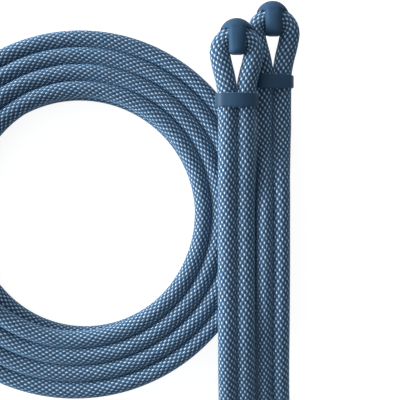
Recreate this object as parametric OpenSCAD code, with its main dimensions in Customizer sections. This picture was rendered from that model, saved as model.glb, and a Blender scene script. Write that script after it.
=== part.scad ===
// Dynamic climbing rope laid out flat: a coil of eight turns in two layers, whose running end
// crosses back over it as a hank. The hank's two upper bights sit in moulded saddle caps, each
// fixed by a screw from behind and stood off the base by a boss, and each pair of strands runs
// through a sliding keeper band. +Z is up, the hank runs along Y and the base is at z = 0.

/* [Rope] */
// Diameter of the rope over its sheath
rope_d = 10.4; // [10.2:0.1:10.4]
// Diameter of the core inside the sheath
core_d = 6.8; // [6:0.1:7.2]
// Clear gap between the core and the sheath's bore
core_gap = 0.2; // [0.1:0.05:0.3]

/* [Coil] */
// Radius of the innermost turn, to the rope's centreline
coil_inner_r = 68.2; // [67.6:0.1:68.4]
// Step from one turn to the next
turn_pitch = 9.8; // [9.7:0.05:9.85]
// Height from the lower layer to the upper one
layer_pitch = 10.9; // [10.9:0.05:11.2]

/* [Caps] */
// Height of the front cap's strands above the base
front_cap_z = 28; // [28:0.1:28.4]
// Height of the rear cap's strands above the base
rear_cap_z = 17.5; // [17.4:0.1:17.6]
// Radius of the domed top
dome_r = 9.7; // [9.5:0.1:9.9]
// Height of the dome above the strands' centre plane
dome_h = 7.8; // [7.4:0.1:8]
// Width of the tongue down the middle
tongue_w = 9.9; // [9.6:0.1:10.6]
// How far the front tongue reaches below the bight's centre
tongue_drop = 2.3; // [1.8:0.1:2.8]
// How much the tongue is crowned across its width
tongue_crown = 1.17; // [0.8:0.01:1.2]
// Height of the dome's brim above the bight's centre
brim_y = 11.3; // [10.8:0.1:11.6]

/* [Bosses] */
// Radius of the socket for a wall screw
socket_r = 1.75; // [1.5:0.05:2]
// Depth of that socket
socket_depth = 8; // [6:0.5:8.5]
// Radius of the boss's flange
flange_r = 5.5; // [5:0.1:5.8]

/* [Bands] */
// Wall of a band
band_wall = 1.35; // [1.2:0.05:1.4]
// Height of the front band
front_band_h = 7.9; // [7.2:0.1:8]
// Height of the rear band
rear_band_h = 8.1; // [7.4:0.1:8.2]

/* [Rope ends] */
// Length of a heat-shrunk end sleeve
sleeve_l = 22; // [18:1:24]
// Wall of an end sleeve
sleeve_wall = 0.4; // [0.3:0.05:0.5]

/* [Hidden] */

rope_r = rope_d / 2;
core_r = core_d / 2;
bore_r = core_r + core_gap;
rope_sides = 10;
flat_turn = 180 / rope_sides;

// A rope that lies on the base is pressed flat there by a tenth of its diameter.
lie_z = 0.4 * rope_d;

// Coil: turns are counted from -coil_turns (lower layer, outside) through 0 (innermost)
// to coil_turns (upper layer, outside).
coil_turns = 4;
coil_sides = 6;
rings_per_turn = 24;
climb_turns = 0.25;
coil_x = -8;
coil_y = 34.8;
layer_shift = 2.3;
coil_end_x = coil_x - coil_inner_r - turn_pitch * coil_turns;
upper_z = lie_z + layer_pitch;
coil_start = [coil_end_x, coil_y - layer_shift - rope_d, lie_z];
coil_end = [coil_end_x, coil_y + layer_shift + rope_d, upper_z];

// Bights: the rope's centreline round a cap, as half-width and height above the bight's
// centre, then an arc over the top.
bight_r = 10.3;
bight_flank = [[5.5, -23], [6.9, -15], [9, -7]];
bight_step = 30;
front_x = 84;
front_y = 126;
rear_x = 105.5;
rear_y = 139.3;

// Lower bight, lying on the base
turn_x = 90;
turn_y = -137.2;
turn_r = 16.3;

// Free end of the rope, where its sleeve rests on the base
end_b = [115, -106, 5.5];

channel_r = rope_r + 0.15;
post_r = 4.7;
post_cut_r = 5;
post_cut_y = 5.4;
screw_y = 3.2;
screw_r = 1.1;
screw_head_r = 1.75;
screw_head_h = 1.2;
screw_socket_r = 0.9;
screw_top = 7.2;
back_z = 7.6;
back_tongue_y = 0.9;
tongue_top_y = 10.7;
boss_y = 12;
boss_r = 4;
boss_seat_z = 6.3;
flange_h = 2.5;
strand_gap = 5.4;
band_clearance = 0.25;
band_chamfer = 0.4;
front_band_y = 98.3;
rear_band_y = 110.7;
sleeve_r = rope_r + 0.3;
plug_r = sleeve_r - sleeve_wall;
plug_proud = 0.6;
strand_r = 1.05;

rope_colour = [0.24, 0.38, 0.56];
core_colour = [0.9, 0.9, 0.86];
cap_colour = [0.2, 0.34, 0.47];
band_colour = [0.18, 0.31, 0.44];
boss_colour = [0.25, 0.28, 0.32];
screw_colour = [0.75, 0.76, 0.78];

// ---- Routes ----

function smooth(t) = t <= 0 ? 0 : t >= 1 ? 1 : t * t * (3 - 2 * t);

// Centre of the coil's tube, turn by turn: it spirals in along the base, climbs one layer in the
// half turn where the spiral reverses, and spirals out again on top.
function coil_point(turn) =
    let (
        up = smooth((turn + climb_turns) / (2 * climb_turns)),
        angle = 180 - 360 * turn,
        r = coil_inner_r + turn_pitch * abs(turn)
    )
    [
        coil_x + r * cos(angle),
        coil_y + layer_shift * (2 * up - 1) + r * sin(angle),
        lie_z + layer_pitch * up
    ];

coil_steps = coil_turns * rings_per_turn;
coil_spiral = [for (i = [-coil_steps:coil_steps]) coil_point(i / rings_per_turn)];
coil_route = concat([coil_start], coil_spiral, [coil_end]);

// Rope's centreline round a cap, from its left strand over the top to its right strand
function bight(x, y, z) = concat(
    [for (p = bight_flank) [x - p[0], y + p[1], z]],
    [for (a = [180:-bight_step:0]) [x + bight_r * cos(a), y + bight_r * sin(a), z]],
    [for (i = [len(bight_flank) - 1:-1:0]) [x + bight_flank[i][0], y + bight_flank[i][1], z]]
);

lead_points = [
    coil_start, [coil_end_x, 9, lie_z], [-114, -9, lie_z], [-108.5, -33, lie_z],
    [-98, -56, lie_z], [-82, -78, lie_z], [-61, -96, lie_z], [-36, -108, lie_z],
    [-10, -112, lie_z], [20, -112, lie_z], [34, -112, lie_z], [48, -112, 4.6],
    [62, -108.5, 6.2], [72, -101, 8.4], [77.6, -90, 11.3], [79.2, -78, 14.3]
];

front_points = concat(
    [
        [79, -60, 19], [78.8, -47, 22.3], [78.7, -36, 24.6], [78.6, -25, 25.7],
        [78.6, -14, 25.8], [78.6, 40, 25.8], [78.6, 52, 27.1], [78.6, 63, front_cap_z],
        [78.6, 99, front_cap_z]
    ],
    bight(front_x, front_y, front_cap_z),
    [
        [89.4, 99, front_cap_z], [89.4, 63, front_cap_z], [89.4, 52, 27.1], [89.4, 40, 25.8],
        [89.4, -14, 25.8], [89.4, -25, 25.7], [89.5, -36, 24.6], [89.7, -47, 22.3],
        [90, -60, 19], [90.3, -70, 16.4], [90.6, -80, 13.7]
    ]
);

lower_points = concat(
    [[90.6, -94, 9.8], [86.5, -108, 6.4], [78, -123, 4.6]],
    [
        for (a = [180:bight_step:360])
            [turn_x + turn_r * cos(a), turn_y + turn_r * sin(a), lie_z]
    ],
    [[103.2, -123, 4.3], [102.2, -108, 5.1], [101.8, -94, 7.2], [101.4, -80, 10.2]]
);

rear_points = concat(
    [
        [101, -67, 13.4], [100.6, -54, 16.4], [100.3, -40, 19.2], [100.1, -25, 21.6],
        [100, -10, 23.1], [99.9, 5, 23.7], [99.9, 17, 23.8], [99.9, 30, 23.9], [100, 43, 23.6],
        [100.1, 56, 21.9], [100.1, 66, 19.3], [100.1, 77, rear_cap_z], [100.1, 112, rear_cap_z]
    ],
    bight(rear_x, rear_y, rear_cap_z),
    [
        [110.9, 112, rear_cap_z], [110.9, 77, rear_cap_z], [110.8, 66, 18.9], [110.6, 56, 20.9],
        [110.5, 43, 22.2], [110.4, 30, 22.5], [110.4, 17, 22.5], [110.4, 5, 22.4],
        [110.4, -10, 21.9], [110.5, -25, 20.6], [110.7, -40, 18.4], [111, -54, 15.6],
        [111.5, -67, 12.6], [112.3, -80, 9.2], [113.6, -91, 6.6], [115, -99, 5.5], end_b
    ]
);

free_route = concat(lead_points, front_points, lower_points, rear_points);
lead_last = len(lead_points) - 1;
front_last = lead_last + len(front_points);
lower_last = front_last + len(lower_points);
rear_last = lower_last + len(rear_points);

// ---- Swept tubes ----

function unit(v) = v / norm(v);

function way(path, i) = unit(path[min(i + 1, len(path) - 1)] - path[max(i - 1, 0)]);

// Points of one ring round the path, the first of them turned up from sideways
function ring(path, i, r, sides, turn) =
    let (
        t = way(path, i),
        side = unit(cross(t, [0, 0, 1])),
        up = cross(side, t)
    )
    [
        for (k = [0:sides - 1])
            let (a = turn + k * 360 / sides)
            path[i] + r * (cos(a) * side + sin(a) * up)
    ];

function rings(path, first, last, r, sides, turn) =
    [for (i = [first:last]) each ring(path, i, r, sides, turn)];

// Two triangles for each side of each step; base is the number of the first ring's first point.
function wall_faces(steps, sides, base) = [
    for (i = [0:steps - 1])
        for (k = [0:sides - 1])
            let (
                a = base + i * sides + k,
                b = base + i * sides + (k + 1) % sides
            )
            each [[a, b, b + sides], [a, b + sides, a + sides]]
];

function flipped(faces) = [for (f = faces) [f[2], f[1], f[0]]];

function fan(sides, base) = [for (k = [1:sides - 2]) [base, base + k, base + k + 1]];

// Ring-shaped end face between an outer ring and an inner one
function rim_faces(sides, outer, inner) = [
    for (k = [0:sides - 1])
        let (next = (k + 1) % sides)
        each [
            [outer + next, outer + k, inner + k],
            [outer + next, inner + k, inner + next]
        ]
];

module solid_tube(path, first, last, r, sides, turn) {
    steps = last - first;
    polyhedron(
        points = rings(path, first, last, r, sides, turn),
        faces = concat(
            wall_faces(steps, sides, 0),
            flipped(fan(sides, 0)),
            fan(sides, steps * sides)
        ),
        convexity = 10
    );
}

module sheath_tube(first, last) {
    steps = last - first;
    inner = (steps + 1) * rope_sides;
    polyhedron(
        points = concat(
            rings(free_route, first, last, rope_r, rope_sides, flat_turn * 2),
            rings(free_route, first, last, bore_r, rope_sides, flat_turn * 2)
        ),
        faces = concat(
            wall_faces(steps, rope_sides, 0),
            flipped(wall_faces(steps, rope_sides, inner)),
            rim_faces(rope_sides, 0, inner),
            flipped(rim_faces(rope_sides, steps * rope_sides, inner + steps * rope_sides))
        ),
        convexity = 10
    );
}

// Least gap of the coil's tube to itself. Rings of one angle lie side by side, so the gap of two
// hexagons is measured along each face's normal, from the places of their centre points.
coil_apothem = rope_r * cos(30);
function section_gap(p, q, side) =
    let (d = [(q - p) * side, q[2] - p[2]])
    max([for (a = [0:60:300]) d * [cos(a), sin(a)]]) - 2 * coil_apothem;
coil_gaps = [
    for (i = [0:len(coil_spiral) - 1 - rings_per_turn])
        for (j = [i + rings_per_turn:rings_per_turn:len(coil_spiral) - 1])
            section_gap(coil_spiral[i], coil_spiral[j], unit(cross(way(coil_spiral, i), [0, 0, 1])))
];
echo(least_coil_gap = min(coil_gaps));

// ---- Rope ----

// Whatever lies on the base is cut flat there.
module cut_at_base() {
    difference() {
        children();
        translate([-150, -200, -rope_d]) cube([300, 400, rope_d]);
    }
}

module coil() {
    color(rope_colour)
        cut_at_base()
            solid_tube(coil_route, 0, len(coil_route) - 1, rope_r, coil_sides, 30);
}

module lead_run() {
    color(rope_colour) cut_at_base() sheath_tube(0, lead_last);
}

module front_hank() {
    color(rope_colour) cut_at_base() sheath_tube(lead_last, front_last);
}

module lower_bight() {
    color(rope_colour) cut_at_base() sheath_tube(front_last, lower_last);
}

module rear_hank() {
    color(rope_colour) cut_at_base() sheath_tube(lower_last, rear_last);
}

module kern_core() {
    color(core_colour) solid_tube(free_route, 0, rear_last, core_r, rope_sides, flat_turn * 2);
}

// ---- Rope ends, built along +Z from the rope's cut face ----

module sleeve() {
    rotate_extrude($fn = 64)
        polygon([
            [plug_r, 0], [sleeve_r - 0.15, 0], [sleeve_r, 0.4],
            [sleeve_r, sleeve_l - 0.4], [sleeve_r - 0.15, sleeve_l], [plug_r, sleeve_l]
        ]);
}

// The fused end: the sheath's rim, and seven core strands just proud of it
module strands() {
    difference() {
        cylinder(r = plug_r, h = sleeve_l + plug_proud / 2, $fn = 64);
        translate([0, 0, sleeve_l - plug_proud])
            cylinder(r = core_r + 0.1, h = 2 * plug_proud, $fn = 64);
    }
    for (a = [0:60:359])
        rotate(a)
            translate([2.15 * strand_r, 0, sleeve_l - 2 * plug_proud])
                cylinder(r = strand_r, h = 3 * plug_proud, $fn = 32);
    translate([0, 0, sleeve_l - 2 * plug_proud])
        cylinder(r = strand_r, h = 3 * plug_proud, $fn = 32);
}

module at_end_a() {
    translate(coil_end) rotate([-90, 0, 0]) children();
}

module at_end_b() {
    translate(end_b) rotate([90, 0, 0]) children();
}

module end_a_sleeve() {
    color(rope_colour) at_end_a() sleeve();
}

module end_a_strands() {
    color(core_colour) at_end_a() strands();
}

module end_b_sleeve() {
    color(rope_colour) at_end_b() sleeve();
}

module end_b_strands() {
    color(core_colour) at_end_b() strands();
}

// ---- Saddle caps, each in its bight's own frame: z = 0 is the strands' centre plane ----

module dome() {
    translate([0, dome_r, 0])
        rotate_extrude($fn = 72)
            polygon([
                for (a = [-90:10:90]) [dome_r * cos(a), dome_h * sin(a)]
            ]);
}

// The bight's channel, and the flat room inside it for the post
module channel() {
    rotate_extrude($fn = 96)
        translate([bight_r, 0])
            circle(r = channel_r, $fn = 48);
    cylinder(r = bight_r, h = 2 * channel_r, center = true, $fn = 96);
}

// Tongue with round edges, crowned across its width
module tongue(low, edge_r, low_z, top_z, crown) {
    x = tongue_w / 2 - edge_r;
    hull() {
        for (side = [-1:0.5:1]) {
            lift = crown * (1 - side * side);
            translate([side * x, low + edge_r, low_z + lift]) sphere(r = edge_r, $fn = 24);
            translate([side * x, tongue_top_y, top_z + lift]) sphere(r = edge_r, $fn = 24);
        }
    }
}

module half_space(front) {
    depth = 20;
    translate([-depth, -depth, front ? 0 : -depth])
        cube([2 * depth, 3 * depth, depth]);
}

module cap_shell() {
    difference() {
        union() {
            intersection() {
                dome();
                half_space(true);
                translate([-dome_r, brim_y, 0]) cube(2 * dome_r);
            }
            tongue(-tongue_drop, 1.8, 5.68, 4.7, tongue_crown);
        }
        channel();
        translate([0, screw_y, 0]) cylinder(r = screw_r, h = screw_top + 0.1, $fn = 32);
    }
}

module cap_back() {
    difference() {
        union() {
            intersection() {
                dome();
                half_space(false);
            }
            mirror([0, 0, 1]) tongue(back_tongue_y, 1.1, back_z - 1.35, back_z - 1.35, 0.25);
        }
        channel();
        translate([0, screw_y, -back_z]) {
            cylinder(r = screw_r + 0.1, h = back_z, $fn = 32);
            translate([0, 0, -1]) cylinder(r = screw_head_r + 0.1, h = screw_head_h + 1.1, $fn = 32);
        }
        translate([0, boss_y, -boss_seat_z - 10]) cylinder(r = boss_r, h = 10, $fn = 72);
    }
}

// Lens-shaped post that fills the eye of the bight and spaces the two shells
module post() {
    difference() {
        intersection() {
            cylinder(r = post_r, h = 2 * channel_r, center = true, $fn = 72);
            translate([0, post_cut_y, 0])
                cylinder(r = post_cut_r, h = 3 * channel_r, center = true, $fn = 72);
        }
        translate([0, screw_y, 0])
            cylinder(r = screw_r + 0.1, h = 3 * channel_r, center = true, $fn = 32);
    }
}

module cap_screw() {
    head_z = -back_z + screw_head_h + 0.1;
    translate([0, screw_y, 0]) {
        difference() {
            translate([0, 0, head_z - screw_head_h])
                cylinder(r = screw_head_r, h = screw_head_h, $fn = 32);
            translate([0, 0, head_z - screw_head_h - 1])
                cylinder(r = screw_socket_r, h = 1.6, $fn = 6);
        }
        translate([0, 0, head_z - 0.1]) cylinder(r = screw_r, h = screw_top - head_z + 0.1, $fn = 32);
    }
}

// Boss from the base up into the cap's back shell, with a blind socket for a wall screw
module boss(cap_z) {
    seat = cap_z - boss_seat_z;
    translate([0, boss_y, -cap_z])
        difference() {
            rotate_extrude($fn = 72)
                polygon([
                    [0, 0], [flange_r - 0.3, 0], [flange_r, 0.3], [flange_r, flange_h - 0.5],
                    [flange_r - 0.5, flange_h], [boss_r + 0.6, flange_h],
                    [boss_r, flange_h + 0.6], [boss_r, seat], [0, seat]
                ]);
            translate([0, 0, -1]) cylinder(r = socket_r, h = socket_depth + 1, $fn = 48);
        }
}

module at_front_cap() {
    translate([front_x, front_y, front_cap_z]) children();
}

module at_rear_cap() {
    translate([rear_x, rear_y, rear_cap_z]) children();
}

module front_cap_shell() {
    color(cap_colour) at_front_cap() cap_shell();
}

module front_cap_back() {
    color(cap_colour) at_front_cap() cap_back();
}

module front_post() {
    color(cap_colour) at_front_cap() post();
}

module front_cap_screw() {
    color(screw_colour) at_front_cap() cap_screw();
}

module front_boss() {
    color(boss_colour) at_front_cap() boss(front_cap_z);
}

module rear_cap_shell() {
    color(cap_colour) at_rear_cap() cap_shell();
}

module rear_cap_back() {
    color(cap_colour) at_rear_cap() cap_back();
}

module rear_post() {
    color(cap_colour) at_rear_cap() post();
}

module rear_cap_screw() {
    color(screw_colour) at_rear_cap() cap_screw();
}

module rear_boss() {
    color(boss_colour) at_rear_cap() boss(rear_cap_z);
}

// ---- Keeper bands: a closed loop with round ends, its hole along Y ----

module band_section(h) {
    c = band_chamfer;
    inner = rope_r + band_clearance;
    outer = inner + band_wall;
    polygon([
        [inner + c, -h / 2], [outer - c, -h / 2], [outer, c - h / 2], [outer, h / 2 - c],
        [outer - c, h / 2], [inner + c, h / 2], [inner, h / 2 - c], [inner, c - h / 2]
    ]);
}

module band(h) {
    rotate([-90, 0, 0])
        for (half = [0, 180])
            rotate(half) {
                translate([strand_gap, 0, 0])
                    rotate(-90)
                        rotate_extrude(angle = 180, $fn = 96)
                            band_section(h);
                rotate([90, 0, 90])
                    translate([0, 0, -strand_gap])
                        linear_extrude(2 * strand_gap)
                            band_section(h);
            }
}

module front_band() {
    color(band_colour) translate([front_x, front_band_y, front_cap_z]) band(front_band_h);
}

module rear_band() {
    color(band_colour) translate([rear_x, rear_band_y, rear_cap_z]) band(rear_band_h);
}

coil();
lead_run();
front_hank();
lower_bight();
rear_hank();
kern_core();
end_a_sleeve();
end_a_strands();
end_b_sleeve();
end_b_strands();
front_cap_shell();
front_cap_back();
front_post();
front_cap_screw();
front_boss();
rear_cap_shell();
rear_cap_back();
rear_post();
rear_cap_screw();
rear_boss();
front_band();
rear_band();
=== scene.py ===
import math

import bmesh
import bpy
import numpy as np
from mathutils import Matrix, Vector


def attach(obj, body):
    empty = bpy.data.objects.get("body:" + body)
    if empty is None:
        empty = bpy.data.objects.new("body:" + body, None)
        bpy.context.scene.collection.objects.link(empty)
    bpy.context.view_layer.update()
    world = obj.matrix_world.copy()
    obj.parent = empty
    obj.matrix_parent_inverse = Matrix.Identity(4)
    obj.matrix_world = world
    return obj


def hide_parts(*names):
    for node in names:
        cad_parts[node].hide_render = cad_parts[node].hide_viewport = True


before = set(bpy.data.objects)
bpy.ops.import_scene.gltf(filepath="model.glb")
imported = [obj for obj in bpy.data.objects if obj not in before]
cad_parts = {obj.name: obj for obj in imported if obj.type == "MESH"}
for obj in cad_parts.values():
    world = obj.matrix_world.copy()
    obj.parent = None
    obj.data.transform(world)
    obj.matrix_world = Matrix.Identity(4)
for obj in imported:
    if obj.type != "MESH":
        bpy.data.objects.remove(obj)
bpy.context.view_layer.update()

# ---- Sizes, in metres ----

ROPE_D = 0.0104
ROPE_R = ROPE_D / 2
LIE_Z = 0.4 * ROPE_D

COIL_CENTRE = (-0.008, 0.0348)
COIL_SHIFT = 0.0023
COIL_INNER_R = 0.0682
TURN_PITCH = 0.0098
LAYER_PITCH = 0.0109
COIL_TURNS = 4
CLIMB_TURNS = 0.25
COIL_END_X = COIL_CENTRE[0] - COIL_INNER_R - TURN_PITCH * COIL_TURNS
COIL_START = (COIL_END_X, COIL_CENTRE[1] - COIL_SHIFT - ROPE_D, LIE_Z)
COIL_END = (COIL_END_X, COIL_CENTRE[1] + COIL_SHIFT + ROPE_D, LIE_Z + LAYER_PITCH)

BIGHT_R = 0.0103
BIGHT_FLANK = [(0.0055, -0.023), (0.0069, -0.015), (0.009, -0.007)]
FRONT_CAP = Vector((0.084, 0.126, 0.028))
REAR_CAP = Vector((0.1055, 0.1393, 0.0175))
LOWER_TURN = Vector((0.09, -0.1372, LIE_Z))
LOWER_TURN_R = 0.0163

# The sheath gives way where strands lie side by side, and fills the room between them.
BESIDE_HEIGHT = 0.0035
SAME_STRAND = 3 * ROPE_D
LONE_GAP = 0.0116
LEAST_HALF_WIDTH = 0.0049
MOST_HALF_WIDTH = 0.0055
TOUCH = 0.00002
SQUEEZED_BELOW = 0.005
SQUEEZED_HALF_HEIGHT = 0.0054
EASY_HALF_HEIGHT = 0.00515
UNDER_HALF_HEIGHT = 0.0054

# The hank's strands: half width, half height, shift to their partner, tuck under the neighbour
FIRST_STRAND = (0.00545, 0.0053, 0.0003, 0.0)
SECOND_STRAND = (0.00545, 0.00485, 0.0003, 0.0)
THIRD_STRAND = (0.0048, 0.0061, 0.00025, 0.0016)
FOURTH_STRAND = (0.00535, 0.0070, 0.00095, 0.0)
HANK_LEFT_X = 0.07
BETWEEN_PAIRS_X = 0.095
FRONT_PAIR_Y = (-0.086, 0.105)
REAR_PAIR_Y = (-0.088, 0.07)
WIDTH_BLUR = 15
HEIGHT_BLUR = 9

# The flanks of the bights: cap, spot beside it, reach, half width and shift to the eye
FLANKS = [
    (FRONT_CAP, (-0.0085, -0.007), 0.01, 0.0059, 0.0011),
    (FRONT_CAP, (0.0085, -0.007), 0.01, 0.0057, 0.0009),
    (FRONT_CAP, (-0.0065, -0.0165), 0.0055, 0.0058, 0.0003),
    (FRONT_CAP, (0.0065, -0.0175), 0.0055, 0.0056, 0.0006),
    (REAR_CAP, (-0.0085, -0.007), 0.01, 0.0056, 0.0007),
    (REAR_CAP, (0.0085, -0.007), 0.01, 0.006, 0.0005),
    (REAR_CAP, (0.006, -0.02), 0.005, 0.0057, -0.0001),
]

# Cap shell, in the cap's own frame: origin at the bight's centre, z up from the strands' middle
DOME_R = 0.0094
DOME_RISE = 0.0096
DOME_H = 0.0078
DOME_EDGE = 0.0012
DOME_FILLET = 0.0014
BRIM_Y = 0.0132
BRIM_SAG = 24.0
BRIM_WALL = 0.0004
BRIM_RAMP = 1.5
BRIM_EDGE = 0.0003
WALL_SCALE = 1.3
TONGUE_SIDES = (0.0042, 0.0058)
TONGUE_WALL = 0.008
TONGUE_W = 0.0105
TONGUE_DROP = 0.0022
TONGUE_END_Y = 0.0165
TONGUE_TOP = 0.00865
TONGUE_SLOPE = 0.06
TONGUE_CROWN_R = 0.0066
CROWN_FADE_Y = 0.022
CROWN_LEAST = 0.4
DIP_MOST = 0.98
TONGUE_CORNER = 0.0034
TONGUE_EDGE = 0.0028
TONGUE_LIP_Z = 0.0025
LIP_EDGE = 0.0003
CHANNEL_R = 0.0053
CHANNEL_EDGE = 0.0003
BASE_EDGE = 0.00025
POST_TOP = 0.00535
POST_GAP = 0.0002
SCREW_Y = 0.0032
SCREW_R = 0.0011
SCREW_TOP = 0.0073
SHELL_LOW = (-0.0102, -0.0031, -0.0007)
SHELL_HIGH = (0.0102, 0.0202, 0.0097)
SHELL_CELL = 0.00036
FRONT_BRIM_SLANT = 0.06
REAR_BRIM_SLANT = 0.03

# Keeper bands
STRAND_GAP = 0.0054
BAND_CLEARANCE = 0.00025
BAND_WALL = 0.00135
BAND_BULGE = 0.0009
BAND_EDGE = 0.0005
BAND_TAPER = 0.2
BAND_TAPER_MOST = 0.0014
FRONT_BAND = (Vector((0.084, 0.0983, 0.028)), 0.0079)
REAR_BAND = (Vector((0.1055, 0.1107, 0.0175)), 0.0081)

# The rope's mesh, and its rows in the square that its material is baked in
ROPE_STEP = 0.002
ROPE_SIDES = 20
BAKE_ROWS = 13
BAKE_END_MARGIN = 0.004
BAKE_ROW_MARGIN = 0.04

# The braid: pale floats lie in columns along the rope, each column shifted by half a step.
BRAID_STEP = 0.00208
BRAID_COLUMNS = 24
BRAID_TWIST = -0.11
BRAID_SLANT = 4 / BRAID_COLUMNS
PALE_FLOAT = {"Half_Length": 0.375, "Half_Width": 0.28, "Lean": 0.12}
NAVY_FLOAT = {"Half_Length": 0.5, "Half_Width": 0.36, "Lean": -0.12}
FLOAT_EDGE = (-0.35, 0.45)
FLOAT_SHOULDER = 0.3
NAVY_HEIGHT = 0.8
FIBRE_HEIGHT = 0.18
BRAID_DEPTH = 0.0003
BRAID_BUMP = 0.8

# Colours of the yarns, each from its darkest to its lightest
SHEATH_BLUE = ((0.026, 0.07, 0.135, 1), (0.052, 0.118, 0.205, 1))
YARN_NAVY = ((0.008, 0.02, 0.046, 1), (0.022, 0.052, 0.1, 1))
YARN_PALE = ((0.38, 0.53, 0.71, 1), (0.58, 0.73, 0.89, 1))
ROPE_SHEEN = 0.45
ROPE_SHEEN_TINT = (0.3, 0.62, 1.0, 1)
ROPE_GLOSS = 0.15

ROPE_SHADE_BY_FIBRE = (0.34, 0.80)
ROPE_SHADE_BY_CLOUD = (0.24, 0.88)
ROPE_ROUGHNESS = (-0.1, 0.68)

# Smooth materials: colour, roughness, grain, metal, gloss and sheen
SKINS = {
    "cap_plastic": ((0.031, 0.072, 0.132), 0.48, 0.2, 0.0, 0.03, 0.03),
    "band_plastic": ((0.0235, 0.058, 0.108), 0.45, 0.2, 0.0, 0.1, 0.5),
    "boss_plastic": ((0.016, 0.04, 0.078), 0.55, 0.2, 0.0, 0.1, 0.15),
    "screw_steel": ((0.6, 0.61, 0.6), 0.36, 0.1, 1.0, 0.1, 0.15),
    "end_sleeve": ((0.012, 0.016, 0.024), 0.4, 0.35, 0.0, 0.1, 0.15),
    "rope_core": ((0.4, 0.47, 0.54), 0.3, 0.5, 0.0, 0.1, 0.15),
}
SKIN_GRAIN_SCALE = 2600
SKIN_CLOUD_SCALE = 90
SKIN_CLOUD = (0.3, 0.7)
SKIN_SHADES = (0.93, 1.06)
SKIN_UNEVEN = (0.12, -0.06)
SKIN_DEPTH = 0.00005
SKIN_SHEEN_TINT = (0.4, 0.73, 1.0, 1)

# Camera, light and floor
SENSOR_MM = 36
IMAGE_PX = 400
CAMERA_AT = Vector((0.06335, 0.04305, 0.34506))
FOCAL_PX = 564.3
LIGHT_TARGET = (0.03, 0.03, 0.01)
LAMP_SIZE = 0.5
KEY_AT = (-1.02, 0.23, 0.27)
KEY_WATTS = 24
UPPER_AT = (-0.35, 1.0, 0.35)
UPPER_WATTS = 5
FILL = 0.5
FILL_LEAN = 0.6
FILL_COLOUR = (0.94, 0.97, 1.0, 1)
WHITE = (1, 1, 1, 1)
FLOOR_SHADE = 0.35
FLOOR_GLOW = 0.88
FLOOR_SIZE = 6
FLOOR_Z = -0.00005


# ---- Route of the rope ----

def smooth(t):
    """Eases from 0 to 1."""
    t = min(max(t, 0.0), 1.0)
    return t * t * (3 - 2 * t)


def coil_point(turn):
    """The rope's centre that many turns from the climb; below zero is the lower layer."""
    up = smooth((turn + CLIMB_TURNS) / (2 * CLIMB_TURNS))
    angle = math.radians(180 - 360 * turn)
    r = COIL_INNER_R + TURN_PITCH * abs(turn)
    x = COIL_CENTRE[0] + r * math.cos(angle)
    y = COIL_CENTRE[1] + COIL_SHIFT * (2 * up - 1) + r * math.sin(angle)
    return (x, y, LIE_Z + LAYER_PITCH * up)


def coil_points(per_turn=60):
    steps = COIL_TURNS * per_turn
    return [coil_point(i / per_turn) for i in range(steps, -steps - 1, -1)]


def arc(centre, r, start, end, step=10):
    """Points on a level circle, with the angles in degrees."""
    count = round(abs(end - start) / step)
    angles = [math.radians(start + (end - start) * i / count) for i in range(count + 1)]
    return [(centre.x + r * math.cos(a), centre.y + r * math.sin(a), centre.z) for a in angles]


def bight(cap):
    """The U-turn round a cap, with the flanks that lead into it."""
    left = [(cap.x - half, cap.y + rise, cap.z) for half, rise in BIGHT_FLANK]
    right = [(cap.x + half, cap.y + rise, cap.z) for half, rise in reversed(BIGHT_FLANK)]
    return left + arc(cap, BIGHT_R, 180, 0) + right


LEAD_POINTS = [
    COIL_START, (COIL_END_X, 0.009, LIE_Z), (-0.114, -0.009, LIE_Z), (-0.1085, -0.033, LIE_Z),
    (-0.098, -0.056, LIE_Z), (-0.082, -0.078, LIE_Z), (-0.061, -0.096, LIE_Z),
    (-0.036, -0.108, LIE_Z), (-0.01, -0.112, LIE_Z), (0.02, -0.112, LIE_Z),
    (0.034, -0.112, LIE_Z), (0.048, -0.112, 0.0046), (0.062, -0.1085, 0.0062),
    (0.072, -0.101, 0.0084), (0.0776, -0.09, 0.0113), (0.0792, -0.078, 0.0143),
]

FRONT_RISE = [
    (0.079, -0.06, 0.019), (0.0788, -0.047, 0.0223), (0.0787, -0.036, 0.0246),
    (0.0786, -0.025, 0.0257), (0.0786, -0.014, 0.0258), (0.0786, 0.04, 0.0258),
    (0.0786, 0.052, 0.0271), (0.0786, 0.063, FRONT_CAP.z), (0.0786, 0.099, FRONT_CAP.z),
]

FRONT_FALL = [
    (0.0894, 0.099, FRONT_CAP.z), (0.0894, 0.063, FRONT_CAP.z), (0.0894, 0.052, 0.0271),
    (0.0894, 0.04, 0.0258), (0.0894, -0.014, 0.0258), (0.0894, -0.025, 0.0257),
    (0.0895, -0.036, 0.0246), (0.0897, -0.047, 0.0223), (0.09, -0.06, 0.019),
    (0.0903, -0.07, 0.0164), (0.0906, -0.08, 0.0137),
]

LOWER_IN = [(0.0906, -0.094, 0.0098), (0.0865, -0.108, 0.0064), (0.078, -0.123, 0.0046)]

LOWER_OUT = [
    (0.1032, -0.123, 0.0043), (0.1022, -0.108, 0.0051), (0.1018, -0.094, 0.0072),
    (0.1014, -0.08, 0.0102),
]

REAR_RISE = [
    (0.101, -0.067, 0.0134), (0.1006, -0.054, 0.0164), (0.1003, -0.04, 0.0192),
    (0.1001, -0.025, 0.0216), (0.1, -0.01, 0.0231), (0.0999, 0.005, 0.0237),
    (0.0999, 0.017, 0.0238), (0.0999, 0.03, 0.0239), (0.1, 0.043, 0.0236),
    (0.1001, 0.056, 0.0219), (0.1001, 0.066, 0.0193), (0.1001, 0.077, REAR_CAP.z),
    (0.1001, 0.112, REAR_CAP.z),
]

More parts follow.
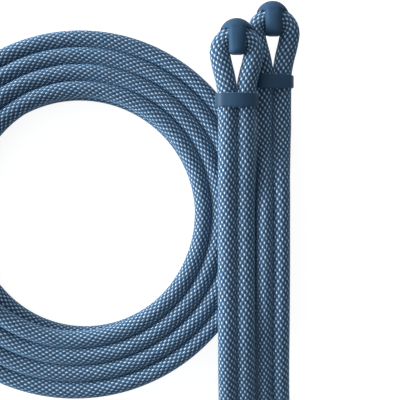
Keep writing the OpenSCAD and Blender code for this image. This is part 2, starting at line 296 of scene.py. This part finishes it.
REAR_FALL = [
    (0.1109, 0.112, REAR_CAP.z), (0.1109, 0.077, REAR_CAP.z), (0.1108, 0.066, 0.0189),
    (0.1106, 0.056, 0.0209), (0.1105, 0.043, 0.0222), (0.1104, 0.03, 0.0225),
    (0.1104, 0.017, 0.0225), (0.1104, 0.005, 0.0224), (0.1104, -0.01, 0.0219),
    (0.1105, -0.025, 0.0206), (0.1107, -0.04, 0.0184), (0.111, -0.054, 0.0156),
    (0.1115, -0.067, 0.0126), (0.1123, -0.08, 0.0092), (0.1136, -0.091, 0.0066),
    (0.115, -0.099, 0.0055), (0.115, -0.106, 0.0055),
]


def rope_points():
    hank = LEAD_POINTS[1:] + FRONT_RISE + bight(FRONT_CAP) + FRONT_FALL
    hank += LOWER_IN + arc(LOWER_TURN, LOWER_TURN_R, 180, 360) + LOWER_OUT
    hank += REAR_RISE + bight(REAR_CAP) + REAR_FALL
    return [COIL_END] + coil_points() + [COIL_START] + hank


def smooth_line(points, step):
    """Points a step apart on a smooth curve through the given ones, and their way along it.
    Each piece of the curve blends the straight lines through its four nearest points."""
    p = np.array(points)
    p = np.vstack([2 * p[0] - p[1], p, 2 * p[-1] - p[-2]])
    knots = np.concatenate([[0], np.cumsum(np.linalg.norm(np.diff(p, axis=0), axis=1) ** 0.5)])
    fine = []
    for i in range(1, len(p) - 2):
        t0, t1, t2, t3 = knots[i - 1:i + 3]
        count = max(4, int(np.linalg.norm(p[i + 1] - p[i]) / step * 2))
        t = np.linspace(t1, t2, count, endpoint=False)[:, None]
        a1 = (t1 - t) / (t1 - t0) * p[i - 1] + (t - t0) / (t1 - t0) * p[i]
        a2 = (t2 - t) / (t2 - t1) * p[i] + (t - t1) / (t2 - t1) * p[i + 1]
        a3 = (t3 - t) / (t3 - t2) * p[i + 1] + (t - t2) / (t3 - t2) * p[i + 2]
        b1 = (t2 - t) / (t2 - t0) * a1 + (t - t0) / (t2 - t0) * a2
        b2 = (t3 - t) / (t3 - t1) * a2 + (t - t1) / (t3 - t1) * a3
        fine.append((t2 - t) / (t2 - t1) * b1 + (t - t1) / (t2 - t1) * b2)
    fine = np.vstack(fine + [p[-2:-1]])
    along = np.concatenate([[0], np.cumsum(np.linalg.norm(np.diff(fine, axis=0), axis=1))])
    count = int(round(along[-1] / step))
    even = np.linspace(0, along[-1], count + 1)
    line = np.stack([np.interp(even, along, fine[:, k]) for k in range(3)], axis=1)
    return line, even


# ---- Meshes ----

def new_object(name, mesh, body):
    obj = bpy.data.objects.new(name, mesh)
    bpy.context.scene.collection.objects.link(obj)
    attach(obj, body)
    return obj


def to_next_strand(line, along):
    """Distance from each ring to the nearest strand that lies beside it."""
    found = np.full(len(line), np.inf)
    for i, point in enumerate(line):
        beside = np.abs(line[:, 2] - point[2]) < BESIDE_HEIGHT
        beside &= np.abs(along - along[i]) > SAME_STRAND
        if beside.any():
            found[i] = np.linalg.norm(line[beside] - point, axis=1).min()
    return found


def blurred(size, rings):
    """Each ring's size averaged with those of its neighbours."""
    return np.convolve(np.pad(size, rings // 2, mode="edge"), np.ones(rings) / rings, "valid")


def between(values, limits):
    return (values > limits[0]) & (values < limits[1])


def section_sizes(line, along):
    """Half width, half height, shift to the inside and tuck under the neighbour of each ring.
    The rope fills the room between its neighbours and is fuller in the flanks of a bight."""
    x, y = line[:, 0], line[:, 1]
    gap = to_next_strand(line, along)
    wide = np.clip(gap / 2 + TOUCH, LEAST_HALF_WIDTH, MOST_HALF_WIDTH)
    wide[gap > LONE_GAP] = ROPE_R
    tall = np.where(wide < SQUEEZED_BELOW, SQUEEZED_HALF_HEIGHT, EASY_HALF_HEIGHT)
    shift = np.zeros(len(line))
    tuck = np.zeros(len(line))

    coil_last = np.argmin(np.linalg.norm(line - np.array(COIL_START), axis=1))
    hank = (x > HANK_LEFT_X) & (along > along[coil_last])
    front = hank & (x < BETWEEN_PAIRS_X) & between(y, FRONT_PAIR_Y)
    rear = hank & (x > BETWEEN_PAIRS_X) & between(y, REAR_PAIR_Y)
    strands = (
        (front & (x < FRONT_CAP.x), FIRST_STRAND),
        (front & (x >= FRONT_CAP.x), SECOND_STRAND),
        (rear & (x < REAR_CAP.x), THIRD_STRAND),
        (rear & (x >= REAR_CAP.x), FOURTH_STRAND),
    )
    for strand, sizes in strands:
        wide[strand], tall[strand], shift[strand], tuck[strand] = sizes

    for cap, (spot_x, spot_y), reach, half_width, inward in FLANKS:
        spot = np.array(cap) + [spot_x, spot_y, 0]
        full = np.clip(2 - np.linalg.norm(line - spot, axis=1) / reach, 0, 1)
        full[(x - cap.x) * spot_x < 0] = 0
        wide = wide + (half_width - wide) * full
        shift = shift + (inward - shift) * full
    return (
        blurred(wide, WIDTH_BLUR),
        blurred(tall, HEIGHT_BLUR),
        blurred(shift, WIDTH_BLUR),
        blurred(tuck, HEIGHT_BLUR),
    )


def rope_surface(line, along):
    """Points of the rope's rings, each ring flattened or filled out by its section sizes."""
    wide, tall, shift, tuck = section_sizes(line, along)
    way = np.gradient(line, axis=0)
    way /= np.linalg.norm(way, axis=1)[:, None]
    side = np.cross(way, [0, 0, 1])
    side /= np.linalg.norm(side, axis=1)[:, None]
    up = np.cross(side, way)
    angle = -math.pi / 2 + 2 * math.pi * np.arange(ROPE_SIDES) / ROPE_SIDES
    under = np.maximum(-np.sin(angle), 0) * np.maximum(-np.cos(angle), 0) * 2
    across = shift[:, None] + wide[:, None] * np.cos(angle) - tuck[:, None] * under
    low = np.minimum(tall[:, None], UNDER_HALF_HEIGHT)
    reach = np.where(np.sin(angle) > 0, tall[:, None], low)
    points = (
        line[:, None, :]
        + across[:, :, None] * side[:, None, :]
        + (reach * np.sin(angle))[:, :, None] * up[:, None, :]
    )
    points[:, :, 2] = np.maximum(points[:, :, 2], 0)
    return points


def rope_mesh(line, along):
    rings = len(line)
    sides = ROPE_SIDES
    verts = rope_surface(line, along).reshape(-1, 3)
    ring = np.arange(rings - 1)[:, None] * sides
    k = np.arange(sides)[None, :]
    after = (k + 1) % sides
    quads = np.stack([ring + k, ring + after, ring + sides + after, ring + sides + k], axis=-1)
    faces = [list(map(int, q)) for q in quads.reshape(-1, 4)[:, ::-1]]
    faces.append(list(range(sides)))
    faces.append(list(range((rings - 1) * sides, rings * sides))[::-1])
    mesh = bpy.data.meshes.new("rope")
    mesh.from_pydata(verts.tolist(), [], faces)
    mesh.polygons.foreach_set("use_smooth", [True] * len(faces))
    v = np.arange(sides + 1) / sides * BRAID_COLUMNS
    corner_v = np.stack([v[:-1], v[1:], v[1:], v[:-1]], axis=-1)
    add_uv(mesh, "braid", braid_pattern(along, corner_v))
    add_uv(mesh, "OFBake", bake_rows(rings, corner_v / BRAID_COLUMNS))
    return mesh


def braid_pattern(along, corner_v):
    """Pattern coordinates: steps of the braid along the rope, columns round it."""
    u = along / BRAID_STEP
    corner_u = np.stack([u[1:], u[1:], u[:-1], u[:-1]], axis=-1)
    pattern = np.zeros((len(along) - 1, ROPE_SIDES, 4, 2))
    pattern[..., 0] = corner_u[:, None, :] + BRAID_SLANT * corner_v[None, :, :]
    pattern[..., 1] = corner_v[None, :, :] + BRAID_TWIST * corner_u[:, None, :]
    return pattern


def bake_rows(rings, share):
    """The same surface in straight rows that fill a square."""
    per_row = math.ceil((rings - 1) / BAKE_ROWS)
    index = np.arange(rings - 1)
    row = index // per_row
    column = index - row * per_row
    flat_u = np.stack([column + 1, column + 1, column, column], axis=-1) / per_row
    flat = np.zeros((rings - 1, ROPE_SIDES, 4, 2))
    flat[..., 0] = BAKE_END_MARGIN + (1 - 2 * BAKE_END_MARGIN) * flat_u[:, None, :]
    within = BAKE_ROW_MARGIN + (1 - 2 * BAKE_ROW_MARGIN) * share[None, :, :]
    flat[..., 1] = (row[:, None, None] + within) / BAKE_ROWS
    return flat


def add_uv(mesh, name, corners):
    """Writes one UV pair per face corner; the two end faces keep the first corner's."""
    layer = mesh.uv_layers.new(name=name)
    values = corners.reshape(-1, 2)
    rest = len(mesh.loops) - len(values)
    values = np.vstack([values, np.tile(values[:1], (rest, 1))])
    layer.data.foreach_set("uv", values.ravel())


def quad_mesh(name, verts, quads, sharp=50):
    mesh = bpy.data.meshes.new(name)
    mesh.from_pydata(verts.tolist(), [], quads.tolist())
    bm = bmesh.new()
    bm.from_mesh(mesh)
    bmesh.ops.recalc_face_normals(bm, faces=bm.faces)
    bm.to_mesh(mesh)
    bm.free()
    mesh.polygons.foreach_set("use_smooth", [True] * len(mesh.polygons))
    mesh.set_sharp_from_angle(angle=math.radians(sharp))
    return mesh


# Solids as distances, below zero inside. Points are in the cap's own frame.

def joined(a, b, fillet):
    """Both solids together, with a fillet where they meet."""
    share = np.clip(0.5 + 0.5 * (b - a) / fillet, 0, 1)
    return b + (a - b) * share - fillet * share * (1 - share)


def shared(a, b, edge):
    """What two solids have in common, with a rounded edge."""
    over = np.hypot(np.maximum(a + edge, 0), np.maximum(b + edge, 0))
    return np.minimum(np.maximum(a, b), -edge) + over


def dome_solid(p, slant):
    """Half an egg with an arched brim. Its wall over the rope is thin at the brim, thickens
    upwards and is full behind the tongue."""
    radii = np.array([DOME_R, DOME_RISE, DOME_H])
    q = (p - [0, DOME_R, 0]) / radii
    size = np.linalg.norm(q, axis=-1)
    dome = size * (size - 1) / np.maximum(np.linalg.norm(q / radii, axis=-1), 1e-9)
    brim = BRIM_Y + slant * p[..., 0] - BRIM_SAG * p[..., 0] ** 2
    over_rope = np.hypot(np.hypot(p[..., 0], p[..., 1]) - BIGHT_R, p[..., 2]) - CHANNEL_R
    wall = BRIM_WALL + BRIM_RAMP * np.maximum(p[..., 1] - brim, 0)
    inner, outer = TONGUE_SIDES
    beside = np.clip((np.abs(p[..., 0]) - inner) / (outer - inner), 0, 1)
    wall = wall + TONGUE_WALL * (1 - beside * beside * (3 - 2 * beside))
    well_inside = -0.001
    thin = np.where(p[..., 2] > 0, (over_rope - wall) / WALL_SCALE, well_inside)
    return shared(shared(dome, thin, DOME_EDGE), brim - p[..., 1], BRIM_EDGE)


def tongue_solid(p):
    """A plate with round corners and a crowned top that follows the dome's fall upwards."""
    x, y, z = p[..., 0], p[..., 1], p[..., 2]
    middle = (TONGUE_END_Y - TONGUE_DROP) / 2
    dx = np.abs(x) - (TONGUE_W / 2 - TONGUE_CORNER)
    dy = np.abs(y - middle) - (TONGUE_END_Y + TONGUE_DROP) / 2 + TONGUE_CORNER
    plan = np.hypot(np.maximum(dx, 0), np.maximum(dy, 0))
    plan += np.minimum(np.maximum(dx, dy), 0) - TONGUE_CORNER
    crown = TONGUE_CROWN_R - np.sqrt(np.maximum(TONGUE_CROWN_R ** 2 - x ** 2, 0))
    crown = crown * np.clip(1 - y / CROWN_FADE_Y, CROWN_LEAST, 1)
    along_dome = np.clip((y - DOME_R) / DOME_RISE, 0, DIP_MOST)
    dip = DOME_H * (1 - np.sqrt(1 - along_dome ** 2))
    top = z - (TONGUE_TOP - TONGUE_SLOPE * y - dip - crown)
    return shared(shared(plan, top, TONGUE_EDGE), TONGUE_LIP_Z - z, LIP_EDGE)


def eye_room(p):
    """The post's place, and what lies over it inside the ring of the rope."""
    inside = np.hypot(p[..., 0], p[..., 1]) - BIGHT_R
    return np.maximum(np.maximum(inside, POST_GAP - p[..., 1]), p[..., 2] - POST_TOP)


def shell_solid(p, slant):
    """Dome and tongue, less the rope's channel, the screw's hole and the post's place."""
    shell = joined(dome_solid(p, slant), tongue_solid(p), DOME_FILLET)
    ring = np.hypot(p[..., 0], p[..., 1]) - BIGHT_R
    channel = np.hypot(ring, p[..., 2]) - CHANNEL_R
    shell = shared(shell, -channel, CHANNEL_EDGE)
    screw = np.hypot(p[..., 0], p[..., 1] - SCREW_Y) - SCREW_R
    shell = np.maximum(shell, -np.maximum(screw, p[..., 2] - SCREW_TOP))
    shell = np.maximum(shell, -eye_room(p))
    return shared(shell, -p[..., 2], BASE_EDGE)


def skin_of(solid, low, high, cell):
    """One point in each cell that the solid's surface passes through, and the quads between."""
    counts = np.ceil((np.array(high) - low) / cell).astype(int) + 1
    grid = np.stack(np.meshgrid(*[np.arange(n) for n in counts], indexing="ij"), axis=-1)
    field = solid(np.array(low) + grid * cell)
    cells = counts - 1
    total, hits = np.zeros((*cells, 3)), np.zeros(cells)
    crossings = []
    for axis in range(3):
        near = np.take(field, range(cells[axis]), axis)
        far = np.take(field, range(1, counts[axis]), axis)
        crossed = (near < 0) != (far < 0)
        share = np.where(crossed, near / np.where(crossed, near - far, 1), 0)
        place = np.take(grid, range(cells[axis]), axis).astype(float)
        place[..., axis] += share
        b, c = [k for k in range(3) if k != axis]
        for step_b in (0, 1):
            for step_c in (0, 1):
                part = [slice(None)] * 3
                part[b] = slice(step_b, step_b + cells[b])
                part[c] = slice(step_c, step_c + cells[c])
                hit = crossed[tuple(part)]
                total += np.where(hit[..., None], place[tuple(part)], 0)
                hits += hit
        crossings.append((b, c, crossed))
    used = hits > 0
    number = np.full(cells, -1)
    number[used] = np.arange(used.sum())
    verts = np.array(low) + cell * total[used] / hits[used][:, None]
    quads = []
    for b, c, crossed in crossings:
        at = np.argwhere(crossed)
        inner = (at[:, b] > 0) & (at[:, c] > 0) & (at[:, b] < cells[b]) & (at[:, c] < cells[c])
        at = at[inner]
        corners = []
        for step_b, step_c in ((1, 1), (0, 1), (0, 0), (1, 0)):
            around = at.copy()
            around[:, b] -= step_b
            around[:, c] -= step_c
            corners.append(number[tuple(around.T)])
        quads.append(np.stack(corners, axis=-1))
    return drawn_onto(solid, verts, cell), np.vstack(quads)


def drawn_onto(solid, verts, cell):
    """The points moved down the solid's slope onto its surface, in short steps."""
    nudge = 0.1 * cell
    longest = 0.4 * cell
    flattest = 0.25
    for _ in range(4):
        slope = np.stack([
            (solid(verts + nudge * step) - solid(verts - nudge * step)) / (2 * nudge)
            for step in np.eye(3)
        ], axis=-1)
        steep = np.maximum((slope ** 2).sum(axis=-1), flattest)
        pull = np.clip(solid(verts) / steep, -longest, longest)
        verts = verts - pull[:, None] * slope
    return verts


def shell_mesh(name, cap, slant):
    verts, quads = skin_of(lambda p: shell_solid(p, slant), SHELL_LOW, SHELL_HIGH, SHELL_CELL)
    return quad_mesh(name, verts + np.array(cap), quads)


def band_loop():
    """Outer point, its normal, inner point and its normal, all the way round a band."""
    inside = ROPE_R + BAND_CLEARANCE
    outside = inside + BAND_WALL
    drop = (STRAND_GAP ** 2 - BAND_BULGE ** 2) / (2 * BAND_BULGE)
    big = outside + math.hypot(STRAND_GAP, drop)
    turn = math.atan2(STRAND_GAP, drop)
    long_side = 14
    round_end = 26
    half = []
    near = np.array([0.0, 1.0])
    end = np.array([STRAND_GAP, 0])
    for k in range(long_side):
        share = 2 * k / long_side - 1
        out = np.array([math.sin(share * turn), math.cos(share * turn)])
        half.append((big * out - [0, drop], out, np.array([share * STRAND_GAP, inside]), near))
    for k in range(round_end):
        share = k / round_end
        a = turn + share * (math.pi - 2 * turn)
        out = np.array([math.sin(a), math.cos(a)])
        near = np.array([math.sin(share * math.pi), math.cos(share * math.pi)])
        half.append((outside * out + end, out, inside * near + end, near))
    return half + [tuple(-part for part in point) for point in half]


def band_mesh(name, place, height):
    """Closed band round a pair of strands: straight inside, its long sides fuller outside."""
    top = height / 2 - BAND_EDGE
    corner = [math.radians(a) for a in range(0, 91, 18)]
    upper = [(BAND_EDGE * (1 - math.cos(a)), top + BAND_EDGE * math.sin(a)) for a in corner]
    face = [(0.0, y) for y in np.linspace(-top, top, 5)[1:-1]]
    lower = [(depth, -y) for depth, y in reversed(upper)]
    profile = lower + face + upper
    verts = []
    crest = ROPE_R + BAND_CLEARANCE + BAND_WALL + BAND_BULGE
    for outer, out, inner, near in band_loop():
        # The lower edge is cut back a little where the band wraps round the sides
        cut = 1 - min(BAND_TAPER * (crest - outer[1]), BAND_TAPER_MOST) / (height / 2)
        skins = [(outer - depth * out, y) for depth, y in profile]
        skins += [(inner + depth * near, y) for depth, y in reversed(profile)]
        for (x, z), y in skins:
            verts.append((place.x + x, place.y + (y if y > 0 else y * cut), place.z + z))
    around = 2 * len(profile)
    rings = len(verts) // around
    quads = [
        (i * around + k, i * around + (k + 1) % around,
         (i + 1) % rings * around + (k + 1) % around, (i + 1) % rings * around + k)
        for i in range(rings)
        for k in range(around)
    ]
    return quad_mesh(name, np.array(verts), np.array(quads))


# ---- Shader parts ----

def shader_group(name, inputs, outputs):
    group = bpy.data.node_groups.new(name, "ShaderNodeTree")
    for label, kind, value in inputs:
        socket = group.interface.new_socket(label, in_out="INPUT", socket_type=kind)
        socket.default_value = value
    for label, kind in outputs:
        group.interface.new_socket(label, in_out="OUTPUT", socket_type=kind)
    return group, group.nodes.new("NodeGroupInput"), group.nodes.new("NodeGroupOutput")


FLOAT = "NodeSocketFloat"
COLOUR = "NodeSocketColor"
VECTOR = "NodeSocketVector"


def put(tree, value, socket):
    if isinstance(value, bpy.types.NodeSocket):
        tree.links.new(value, socket)
    else:
        socket.default_value = value


def math_node(tree, operation, *values):
    node = tree.nodes.new("ShaderNodeMath")
    node.operation = operation
    for socket, value in zip(node.inputs, values):
        put(tree, value, socket)
    return node.outputs[0]


def map_range(tree, value, low, high, low_out=0.0, high_out=1.0, kind="LINEAR"):
    node = tree.nodes.new("ShaderNodeMapRange")
    node.interpolation_type = kind
    put(tree, value, node.inputs["Value"])
    node.inputs["From Min"].default_value = low
    node.inputs["From Max"].default_value = high
    node.inputs["To Min"].default_value = low_out
    node.inputs["To Max"].default_value = high_out
    return node.outputs["Result"]


def bump(tree, height, strength, distance):
    node = tree.nodes.new("ShaderNodeBump")
    put(tree, height, node.inputs["Height"])
    put(tree, strength, node.inputs["Strength"])
    node.inputs["Distance"].default_value = distance
    return node.outputs["Normal"]


def mix_colour(tree, factor, a, b, blend="MIX"):
    node = tree.nodes.new("ShaderNodeMix")
    node.data_type = "RGBA"
    node.blend_type = blend
    put(tree, factor, node.inputs["Factor"])
    put(tree, a, node.inputs[6])
    put(tree, b, node.inputs[7])
    return node.outputs[2]


def noise(tree, vector, scale, detail, roughness):
    node = tree.nodes.new("ShaderNodeTexNoise")
    put(tree, vector, node.inputs["Vector"])
    node.inputs["Scale"].default_value = scale
    node.inputs["Detail"].default_value = detail
    node.inputs["Roughness"].default_value = roughness
    return node.outputs["Fac"]


def combine(tree, x, y, z=0.0):
    """The three values as one vector or colour."""
    node = tree.nodes.new("ShaderNodeCombineXYZ")
    for socket, value in zip(node.inputs, (x, y, z)):
        put(tree, value, socket)
    return node.outputs[0]


def shaded(tree, colour, shade):
    return mix_colour(tree, 1.0, colour, combine(tree, shade, shade, shade), "MULTIPLY")


def yarn_float_group():
    """One family of yarn floats on a staggered lattice: their mask, height and a number each."""
    t, given, result = shader_group(
        "Yarn floats",
        [("Along", FLOAT, 0.0), ("Round", FLOAT, 0.0), ("Half Length", FLOAT, 0.5),
         ("Half Width", FLOAT, 0.35), ("Lean", FLOAT, 0.0)],
        [("Mask", FLOAT), ("Height", FLOAT), ("Number", FLOAT)],
    )
    along = given.outputs["Along"]
    around = given.outputs["Round"]
    a = math_node(t, "MULTIPLY", math_node(t, "ADD", along, around), 0.5)
    b = math_node(t, "MULTIPLY", math_node(t, "SUBTRACT", along, around), 0.5)
    near_a = math_node(t, "ROUND", a)
    near_b = math_node(t, "ROUND", b)
    da = math_node(t, "SUBTRACT", a, near_a)
    db = math_node(t, "SUBTRACT", b, near_b)
    du = math_node(t, "ADD", da, db)
    dv = math_node(t, "SUBTRACT", da, db)
    leaning = math_node(t, "MULTIPLY", du, given.outputs["Lean"])
    x = math_node(t, "DIVIDE", du, given.outputs["Half Length"])
    y = math_node(t, "DIVIDE", math_node(t, "SUBTRACT", dv, leaning), given.outputs["Half Width"])
    x2 = math_node(t, "MULTIPLY", x, x)
    y2 = math_node(t, "MULTIPLY", y, y)
    inside = math_node(t, "SUBTRACT", 1.0, math_node(t, "ADD", x2, y2))
    mask = map_range(t, inside, *FLOAT_EDGE, kind="SMOOTHSTEP")
    domed = math_node(t, "MAXIMUM", math_node(t, "ADD", inside, FLOAT_SHOULDER), 0.0)
    number = t.nodes.new("ShaderNodeTexWhiteNoise")
    number.noise_dimensions = "2D"
    put(t, combine(t, near_a, near_b), number.inputs["Vector"])
    put(t, mask, result.inputs["Mask"])
    put(t, math_node(t, "SQRT", domed), result.inputs["Height"])
    put(t, number.outputs["Value"], result.inputs["Number"])
    return t


def moulded_skin_group():
    """Fine grain and faint cloudy flow marks of a moulded surface."""
    t, given, result = shader_group(
        "Moulded skin",
        [("Colour", COLOUR, (0.1, 0.2, 0.3, 1)), ("Roughness", FLOAT, 0.45),
         ("Grain", FLOAT, 0.2)],
        [("Colour", COLOUR), ("Roughness", FLOAT), ("Normal", VECTOR)],
    )
    place = t.nodes.new("ShaderNodeTexCoord").outputs["Object"]
    grain = noise(t, place, SKIN_GRAIN_SCALE, 3, 0.6)
    cloud = noise(t, place, SKIN_CLOUD_SCALE, 3, 0.55)
    shade = map_range(t, cloud, *SKIN_CLOUD, *SKIN_SHADES)
    put(t, shaded(t, given.outputs["Colour"], shade), result.inputs["Colour"])
    uneven = math_node(t, "MULTIPLY_ADD", grain, *SKIN_UNEVEN)
    rough = math_node(t, "ADD", given.outputs["Roughness"], uneven)
    put(t, rough, result.inputs["Roughness"])
    normal = bump(t, grain, given.outputs["Grain"], SKIN_DEPTH)
    put(t, normal, result.inputs["Normal"])
    return t


def give_material(node, material):
    """A CAD node keeps its mesh and gets the material."""
    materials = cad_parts[node].data.materials
    materials.clear()
    materials.append(material)


def new_material(name):
    material = bpy.data.materials.new(name)
    material.use_nodes = True
    return material, material.node_tree, material.node_tree.nodes["Principled BSDF"]


def placed(tree, group, **values):
    node = tree.nodes.new("ShaderNodeGroup")
    node.node_tree = group
    for label, value in values.items():
        put(tree, value, node.inputs[label.replace("_", " ")])
    return node


def stretched_noise(tree, along, around, stretch, scale, roughness):
    """Noise over the pattern, drawn out along the rope."""
    place = combine(tree, math_node(tree, "MULTIPLY", along, stretch[0]),
                    math_node(tree, "MULTIPLY", around, stretch[1]))
    return noise(tree, place, scale, 2, roughness)


def braid_material(floats):
    """Steel-blue sheath with navy floats and smaller pale ones between them."""
    material, t, shader = new_material("rope_sheath")
    uv = t.nodes.new("ShaderNodeUVMap")
    uv.uv_map = "braid"
    split = t.nodes.new("ShaderNodeSeparateXYZ")
    put(t, uv.outputs["UV"], split.inputs[0])
    along = split.outputs["X"]
    around = split.outputs["Y"]
    pale = placed(t, floats, Along=along, Round=around, **PALE_FLOAT)
    between_pale = math_node(t, "ADD", along, 1.0)
    navy = placed(t, floats, Along=between_pale, Round=around, **NAVY_FLOAT)
    fibre = stretched_noise(t, along, around, (0.8, 5.0), 2.2, 0.6)
    cloud = stretched_noise(t, along, around, (0.05, 0.1), 1.0, 0.5)

    blue_tone = mix_colour(t, fibre, *SHEATH_BLUE)
    navy_tone = mix_colour(t, navy.outputs["Number"], *YARN_NAVY)
    pale_tone = mix_colour(t, pale.outputs["Number"], *YARN_PALE)
    woven = mix_colour(t, navy.outputs["Mask"], blue_tone, navy_tone)
    woven = mix_colour(t, pale.outputs["Mask"], woven, pale_tone)
    by_fibre = math_node(t, "MULTIPLY_ADD", fibre, *ROPE_SHADE_BY_FIBRE)
    by_cloud = math_node(t, "MULTIPLY_ADD", cloud, *ROPE_SHADE_BY_CLOUD)
    shade = math_node(t, "MULTIPLY", by_fibre, by_cloud)
    put(t, shaded(t, woven, shade), shader.inputs["Base Color"])
    rough = math_node(t, "MULTIPLY_ADD", pale.outputs["Mask"], *ROPE_ROUGHNESS)
    put(t, rough, shader.inputs["Roughness"])

    navy_height = math_node(t, "MULTIPLY", navy.outputs["Height"], NAVY_HEIGHT)
    height = math_node(t, "MAXIMUM", pale.outputs["Height"], navy_height)
    height = math_node(t, "ADD", height, math_node(t, "MULTIPLY", fibre, FIBRE_HEIGHT))
    put(t, bump(t, height, BRAID_BUMP, BRAID_DEPTH), shader.inputs["Normal"])
    shader.inputs["Sheen Weight"].default_value = ROPE_SHEEN
    shader.inputs["Sheen Roughness"].default_value = 0.5
    shader.inputs["Sheen Tint"].default_value = ROPE_SHEEN_TINT
    shader.inputs["Specular IOR Level"].default_value = ROPE_GLOSS
    return material


def moulded_material(name, skin, colour, roughness, grain, metallic, gloss, sheen):
    material, t, shader = new_material(name)
    node = placed(t, skin, Colour=(*colour, 1), Roughness=roughness, Grain=grain)
    put(t, node.outputs["Colour"], shader.inputs["Base Color"])
    put(t, node.outputs["Roughness"], shader.inputs["Roughness"])
    put(t, node.outputs["Normal"], shader.inputs["Normal"])
    shader.inputs["Metallic"].default_value = metallic
    shader.inputs["Specular IOR Level"].default_value = gloss
    shader.inputs["Sheen Weight"].default_value = sheen
    shader.inputs["Sheen Roughness"].default_value = 0.35
    shader.inputs["Sheen Tint"].default_value = SKIN_SHEEN_TINT
    return material


# ---- Camera, floor and light ----

def make_camera():
    data = bpy.data.cameras.new("camera")
    data.sensor_width = SENSOR_MM
    data.lens = SENSOR_MM * FOCAL_PX / IMAGE_PX
    data.clip_start = 0.01
    data.clip_end = 10
    camera = bpy.data.objects.new("camera", data)
    camera.location = CAMERA_AT
    bpy.context.scene.collection.objects.link(camera)
    bpy.context.scene.camera = camera


def area_light(name, place, watts):
    data = bpy.data.lights.new(name, "AREA")
    data.shape = "DISK"
    data.size = LAMP_SIZE
    data.energy = watts
    lamp = bpy.data.objects.new(name, data)
    lamp.location = place
    aim = Vector(LIGHT_TARGET) - Vector(place)
    lamp.rotation_euler = aim.to_track_quat("-Z", "Y").to_euler()
    bpy.context.scene.collection.objects.link(lamp)


def seen_directly(tree):
    """1 where the camera, a reflection or a look through glass sees the background."""
    path = tree.nodes.new("ShaderNodeLightPath")
    seen = math_node(tree, "MAXIMUM", path.outputs["Is Camera Ray"],
                     path.outputs["Is Transmission Ray"])
    return math_node(tree, "MAXIMUM", seen, path.outputs["Is Glossy Ray"])


def make_studio():
    """A white background that lights the rope only a little, more from the left; two lamps."""
    scene = bpy.context.scene
    scene.view_settings.view_transform = "Standard"
    world = bpy.data.worlds.new("studio")
    scene.world = world
    world.use_nodes = True
    t = world.node_tree
    back = t.nodes["Background"]
    way = t.nodes.new("ShaderNodeSeparateXYZ")
    put(t, t.nodes.new("ShaderNodeTexCoord").outputs["Generated"], way.inputs[0])
    fill = math_node(t, "MULTIPLY_ADD", way.outputs["X"], -FILL_LEAN * FILL, FILL)
    seen = seen_directly(t)
    put(t, mix_colour(t, seen, FILL_COLOUR, WHITE), back.inputs["Color"])
    unseen = math_node(t, "SUBTRACT", 1.0, seen)
    put(t, math_node(t, "MULTIPLY_ADD", fill, unseen, seen), back.inputs["Strength"])
    area_light("key", KEY_AT, KEY_WATTS)
    area_light("upper", UPPER_AT, UPPER_WATTS)


def make_floor():
    bpy.ops.mesh.primitive_plane_add(size=FLOOR_SIZE, location=(0, 0, FLOOR_Z))
    floor = bpy.context.object
    floor.name = "floor"
    material, t, shader = new_material("floor_white")
    shader.inputs["Base Color"].default_value = (FLOOR_SHADE, FLOOR_SHADE, FLOOR_SHADE, 1)
    shader.inputs["Roughness"].default_value = 0.9
    shader.inputs["Specular IOR Level"].default_value = 0.0
    glow = t.nodes.new("ShaderNodeEmission")
    glow.inputs["Color"].default_value = WHITE
    strength = math_node(t, "MULTIPLY", seen_directly(t), FLOOR_GLOW)
    put(t, strength, glow.inputs["Strength"])
    both = t.nodes.new("ShaderNodeAddShader")
    put(t, shader.outputs[0], both.inputs[0])
    put(t, glow.outputs[0], both.inputs[1])
    put(t, both.outputs[0], t.nodes["Material Output"].inputs["Surface"])
    floor.data.materials.append(material)


make_camera()
make_studio()
make_floor()

# ---- Rope ----

rope_line, rope_along = smooth_line(rope_points(), ROPE_STEP)
rope = new_object("rope", rope_mesh(rope_line, rope_along), "rope")
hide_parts("coil", "lead_run", "front_hank", "lower_bight", "rear_hank", "kern_core")

moulded_skin = moulded_skin_group()
rope.data.materials.append(braid_material(yarn_float_group()))
smooth_materials = {
    name: moulded_material(name, moulded_skin, *values) for name, values in SKINS.items()
}

# ---- Caps and bands ----

pairs = (
    ("front", FRONT_CAP, FRONT_BRIM_SLANT, FRONT_BAND),
    ("rear", REAR_CAP, REAR_BRIM_SLANT, REAR_BAND),
)
inner_parts = (
    ("cap_back", "cap_plastic"),
    ("post", "cap_plastic"),
    ("boss", "boss_plastic"),
    ("cap_screw", "screw_steel"),
)
for name, cap, slant, (place, height) in pairs:
    shell = new_object(f"{name}_saddle", shell_mesh(f"{name}_saddle", cap, slant), "rope")
    shell.data.materials.append(smooth_materials["cap_plastic"])
    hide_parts(f"{name}_cap_shell")
    for part, material in inner_parts:
        give_material(f"{name}_{part}", smooth_materials[material])
    band = new_object(f"{name}_keeper_band", band_mesh(f"{name}_keeper_band", place, height),
                      f"{name}_keeper")
    band.data.materials.append(smooth_materials["band_plastic"])
    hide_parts(f"{name}_band")

for end in ("end_a", "end_b"):
    give_material(f"{end}_sleeve", smooth_materials["end_sleeve"])
    give_material(f"{end}_strands", smooth_materials["rope_core"])
